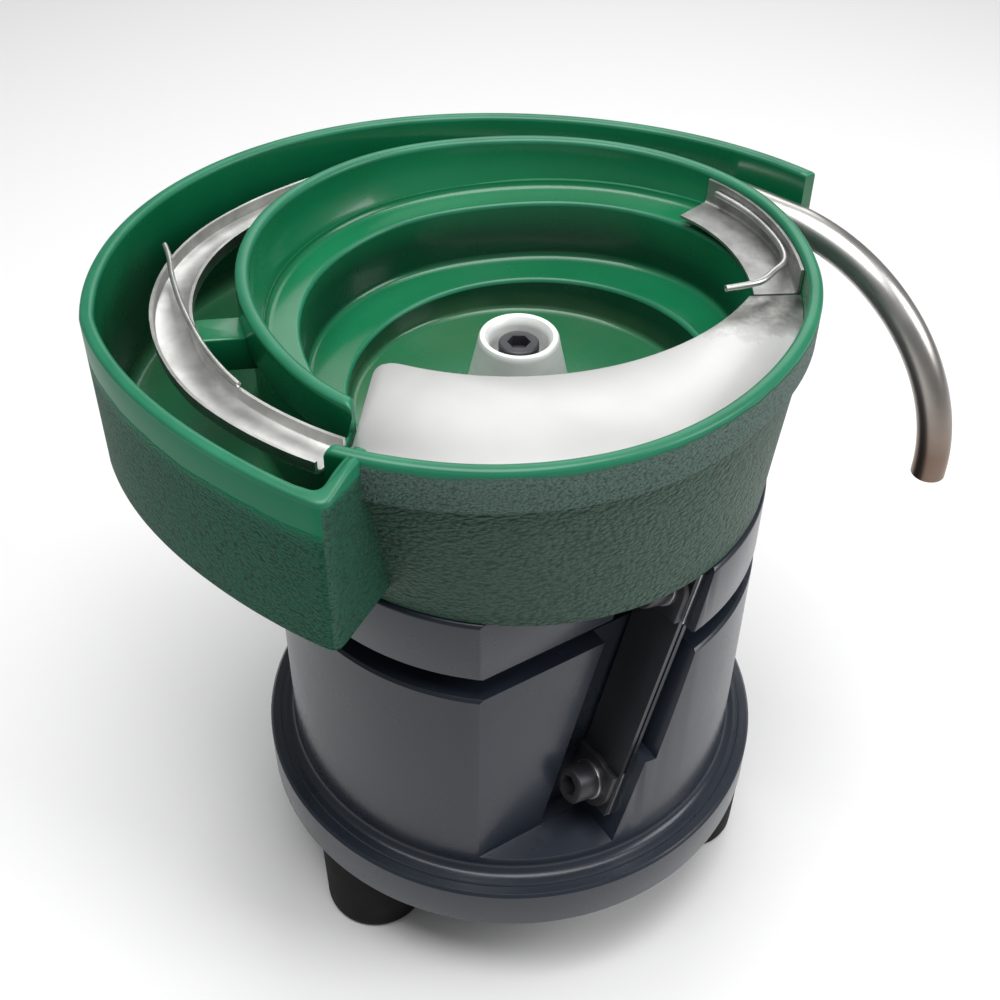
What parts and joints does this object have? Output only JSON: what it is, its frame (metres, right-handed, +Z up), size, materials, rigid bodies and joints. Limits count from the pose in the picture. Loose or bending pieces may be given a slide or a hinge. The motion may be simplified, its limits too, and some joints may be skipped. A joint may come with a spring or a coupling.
{
  "type": "vibratory bowl feeder",
  "caption": "Vibratory bowl feeder: coated cast bowl with a spiral track, return pan, sheet-metal tooling and outlet tube on a round spring-mounted electromagnetic drive.",
  "frame": {"origin": "on the drive's vertical axis, at the level of the feet's undersides", "axes": "+Z up along the drive's axis; +X towards the outlet tube's side, -Y towards the front"},
  "size_m": [0.2892, 0.2197, 0.25],
  "materials": {
    "drive_paint": "gloss",
    "foot_rubber": "matte",
    "spring_steel": "satin",
    "zinc_steel": "satin",
    "black_steel": "satin",
    "laminated_steel": "satin",
    "bobbin_plastic": "matte",
    "copper_winding": "gloss",
    "gland_plastic": "matte",
    "bowl_coating": "gloss",
    "turned_aluminium": "satin",
    "stainless_bright": "satin",
    "stainless_satin": "satin"
  },
  "bodies": {
    "drive_base": {"base_casting": "drive_paint", "foot_front": "foot_rubber", "foot_right": "foot_rubber", "foot_back": "foot_rubber", "foot_studs": "zinc_steel", "leaf_spring_front": "spring_steel", "leaf_spring_back": "spring_steel", "leaf_spring_left": "spring_steel", "lower_spring_spacers": "zinc_steel", "lower_clamps": "black_steel", "lower_lock_washers": "zinc_steel", "lower_spring_bolts": "black_steel", "magnet_bracket": "zinc_steel", "magnet_core": "laminated_steel", "magnet_bobbin": "bobbin_plastic", "magnet_winding": "copper_winding", "magnet_screws": "black_steel", "cable_gland": "gland_plastic"},
    "bowl_unit": {"upper_casting": "drive_paint", "upper_spring_spacers": "zinc_steel", "upper_clamps": "black_steel", "upper_lock_washers": "zinc_steel", "upper_spring_bolts": "black_steel", "armature_plate": "zinc_steel", "armature": "laminated_steel", "armature_screws": "black_steel", "bowl": "bowl_coating", "hub_cone": "turned_aluminium", "bowl_bolt": "black_steel", "bowl_washer": "zinc_steel", "track_shelf": "stainless_satin", "front_plate": "stainless_bright", "exit_track": "stainless_satin", "outlet_tube": "stainless_satin", "wiper_wire": "stainless_satin", "guide_wire": "stainless_satin"}
  },
  "joints": [
    {"name": "bowl_oscillation", "type": "hinge", "parent": "drive_base", "child": "bowl_unit", "pos_m": [0, 0, 0.125], "axis": [0, 0, 1], "range_deg": [-0.5, 0.5], "stiffness_Nm_per_rad": 3000, "deforming": ["leaf_spring_front", "leaf_spring_back", "leaf_spring_left"]}
  ]
}
